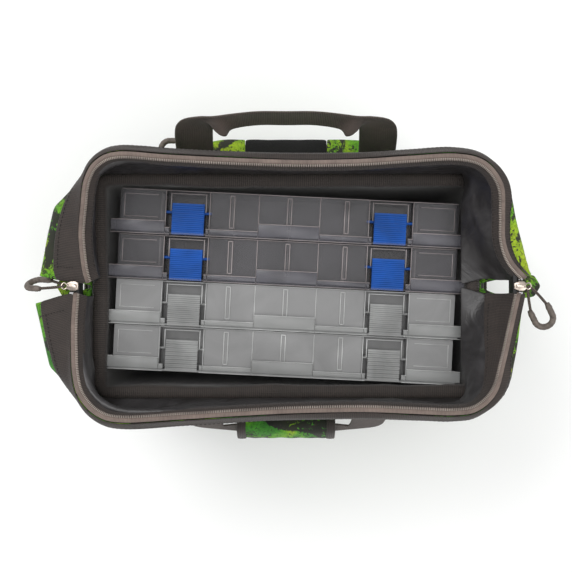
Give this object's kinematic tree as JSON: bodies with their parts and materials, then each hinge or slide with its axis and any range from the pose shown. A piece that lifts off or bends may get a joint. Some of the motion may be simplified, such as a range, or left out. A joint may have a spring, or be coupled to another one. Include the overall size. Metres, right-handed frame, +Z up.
{
  "type": "fishing tackle bag",
  "caption": "Soft-sided fishing tackle bag with a wide wire-framed mouth, side pockets and webbing handles, holding a row of clear compartment trays with flip latches",
  "frame": {"origin": "centre of the flat underside of the moulded base", "axes": "+X to the right along the bag's length, +Y to the rear, +Z up; the mouth stands open"},
  "size_m": [0.5281, 0.3409, 0.3213],
  "materials": {
    "camo_fabric": "printed camouflage polyester, matt",
    "webbing": "ribbed polypropylene webbing",
    "lining": "coated lining cloth with a slight sheen",
    "foam": "closed-cell foam panel covered with cloth",
    "zip_tape": "woven zip tape",
    "moulded_plastic": "matt black moulding",
    "steel_wire": "drawn steel wire",
    "nickel": "nickel plate",
    "grip_rubber": "matt moulded rubber",
    "cord": "braided cord",
    "blue_latch": "blue polypropylene",
    "clear_plastic": "clear polypropylene",
    "frosted_plastic": "frosted polypropylene",
    "frosted_latch": "frosted polypropylene"
  },
  "bodies": {
    "bag": {"bottom_board": "foam", "front_foam_panel": "foam", "front_pocket": "camo_fabric", "front_skirt": "lining", "left_foam_panel": "foam", "left_hinge_plate": "moulded_plastic", "left_pocket": "camo_fabric", "left_ring_tab": "webbing", "left_zip_end_tab": "camo_fabric", "moulded_base": "moulded_plastic", "outer_shell": "camo_fabric", "rear_foam_panel": "foam", "rear_pocket": "camo_fabric", "rear_pocket_cover": "camo_fabric", "rear_pocket_zip": "zip_tape", "rear_skirt": "lining", "right_foam_panel": "foam", "right_hinge_plate": "moulded_plastic", "right_pocket": "camo_fabric", "right_ring_tab": "webbing", "right_zip_end_tab": "camo_fabric", "rim_binding": "webbing"},
    "front_mouth": {"front_wire_frame": "steel_wire", "front_frame_sleeve": "webbing", "front_zip_tape": "zip_tape"},
    "rear_mouth": {"rear_wire_frame": "steel_wire", "rear_frame_sleeve": "webbing", "rear_zip_tape": "zip_tape"},
    "front_handle": {"front_handle": "webbing", "handle_wrap": "camo_fabric"},
    "rear_handle": {"rear_handle": "webbing"},
    "left_d_ring": {"left_d_ring": "nickel"},
    "right_d_ring": {"right_d_ring": "nickel"},
    "left_slider": {"left_slider": "nickel"},
    "right_slider": {"right_slider": "nickel"},
    "left_pull": {"left_pull_cord": "cord", "left_pull_grip": "grip_rubber"},
    "right_pull": {"right_pull_cord": "cord", "right_pull_grip": "grip_rubber"},
    "rear_pocket_slider": {"rear_slider": "nickel"},
    "rear_pull": {"rear_pull_cord": "cord", "rear_pull_grip": "grip_rubber"},
    "tray_1": {"tray_1_base": "clear_plastic", "tray_1_lid": "clear_plastic"},
    "tray_1_left_latch": {"tray_1_left_latch": "blue_latch"},
    "tray_1_right_latch": {"tray_1_right_latch": "blue_latch"},
    "tray_2": {"tray_2_base": "clear_plastic", "tray_2_lid": "clear_plastic"},
    "tray_2_left_latch": {"tray_2_left_latch": "blue_latch"},
    "tray_2_right_latch": {"tray_2_right_latch": "blue_latch"},
    "tray_3": {"tray_3_base": "frosted_plastic", "tray_3_lid": "frosted_plastic"},
    "tray_3_left_latch": {"tray_3_left_latch": "frosted_latch"},
    "tray_3_right_latch": {"tray_3_right_latch": "frosted_latch"},
    "tray_4": {"tray_4_base": "frosted_plastic", "tray_4_lid": "frosted_plastic"},
    "tray_4_left_latch": {"tray_4_left_latch": "frosted_latch"},
    "tray_4_right_latch": {"tray_4_right_latch": "frosted_latch"}
  },
  "joints": [
    {"name": "front_mouth", "type": "hinge", "parent": "bag", "child": "front_mouth", "pos_m": [0.01, -0.008, 0.276], "axis": [1, 0, 0], "range_deg": [-72, 0]},
    {"name": "rear_mouth", "type": "hinge", "parent": "bag", "child": "rear_mouth", "pos_m": [0.01, 0.008, 0.276], "axis": [-1, 0, 0], "range_deg": [-72, 0]},
    {"name": "front_handle", "type": "hinge", "parent": "bag", "child": "front_handle", "pos_m": [0, -0.1171, 0.222], "axis": [-1, 0, 0], "range_deg": [0, 130]},
    {"name": "rear_handle", "type": "hinge", "parent": "bag", "child": "rear_handle", "pos_m": [0, 0.1171, 0.222], "axis": [1, 0, 0], "range_deg": [-60, 8]},
    {"name": "left_d_ring", "type": "hinge", "parent": "bag", "child": "left_d_ring", "pos_m": [-0.2026, 0, 0.222], "axis": [0, 1, 0], "range_deg": [0, 100]},
    {"name": "right_d_ring", "type": "hinge", "parent": "bag", "child": "right_d_ring", "pos_m": [0.2026, 0, 0.222], "axis": [0, -1, 0], "range_deg": [0, 100]},
    {"name": "left_slider", "type": "slide", "parent": "bag", "child": "left_slider", "axis": [1, 0, 0], "range_m": [0, 0.004]},
    {"name": "left_pull", "type": "hinge", "parent": "left_slider", "child": "left_pull", "pos_m": [-0.2174, 0, 0.2859], "axis": [0, 0, 1], "range_deg": [-30, 30]},
    {"name": "right_slider", "type": "slide", "parent": "bag", "child": "right_slider", "axis": [-1, 0, 0], "range_m": [0, 0.004]},
    {"name": "right_pull", "type": "hinge", "parent": "right_slider", "child": "right_pull", "pos_m": [0.2374, 0, 0.2859], "axis": [0, 0, 1], "range_deg": [-10, 60]},
    {"name": "rear_pocket_slider", "type": "slide", "parent": "bag", "child": "rear_pocket_slider", "axis": [1, 0, 0], "range_m": [0, 0.16]},
    {"name": "rear_pull", "type": "hinge", "parent": "rear_pocket_slider", "child": "rear_pull", "pos_m": [-0.0864, 0.1451, 0.2068], "axis": [0, 0, 1], "range_deg": [-60, 10]},
    {"name": "tray_1_lift", "type": "slide", "parent": "bag", "child": "tray_1", "axis": [0, 0, 1], "range_m": [0, 0.33]},
    {"name": "tray_1_left_latch", "type": "hinge", "parent": "tray_1", "child": "tray_1_left_latch", "pos_m": [-0.10043, 0.0756, 0.2326], "axis": [-0.9988, 0.0489, 0], "range_deg": [0, 75]},
    {"name": "tray_1_right_latch", "type": "hinge", "parent": "tray_1", "child": "tray_1_right_latch", "pos_m": [0.10733, 0.06543, 0.2326], "axis": [-0.9988, 0.0489, 0], "range_deg": [0, 75]},
    {"name": "tray_2_lift", "type": "slide", "parent": "bag", "child": "tray_2", "axis": [0, 0, 1], "range_m": [0, 0.33]},
    {"name": "tray_2_left_latch", "type": "hinge", "parent": "tray_2", "child": "tray_2_left_latch", "pos_m": [-0.10271, 0.02885, 0.2326], "axis": [-0.9988, 0.0489, 0], "range_deg": [0, 75]},
    {"name": "tray_2_right_latch", "type": "hinge", "parent": "tray_2", "child": "tray_2_right_latch", "pos_m": [0.10504, 0.01869, 0.2326], "axis": [-0.9988, 0.0489, 0], "range_deg": [0, 75]},
    {"name": "tray_3_lift", "type": "slide", "parent": "bag", "child": "tray_3", "axis": [0, 0, 1], "range_m": [0, 0.33]},
    {"name": "tray_3_left_latch", "type": "hinge", "parent": "tray_3", "child": "tray_3_left_latch", "pos_m": [-0.105, -0.01789, 0.2326], "axis": [-0.9988, 0.0489, 0], "range_deg": [0, 75]},
    {"name": "tray_3_right_latch", "type": "hinge", "parent": "tray_3", "child": "tray_3_right_latch", "pos_m": [0.10275, -0.02805, 0.2326], "axis": [-0.9988, 0.0489, 0], "range_deg": [0, 75]},
    {"name": "tray_4_lift", "type": "slide", "parent": "bag", "child": "tray_4", "axis": [0, 0, 1], "range_m": [0, 0.33]},
    {"name": "tray_4_left_latch", "type": "hinge", "parent": "tray_4", "child": "tray_4_left_latch", "pos_m": [-0.10729, -0.06464, 0.2326], "axis": [-0.9988, 0.0489, 0], "range_deg": [0, 75]},
    {"name": "tray_4_right_latch", "type": "hinge", "parent": "tray_4", "child": "tray_4_right_latch", "pos_m": [0.10047, -0.0748, 0.2326], "axis": [-0.9988, 0.0489, 0], "range_deg": [0, 75]}
  ]
}
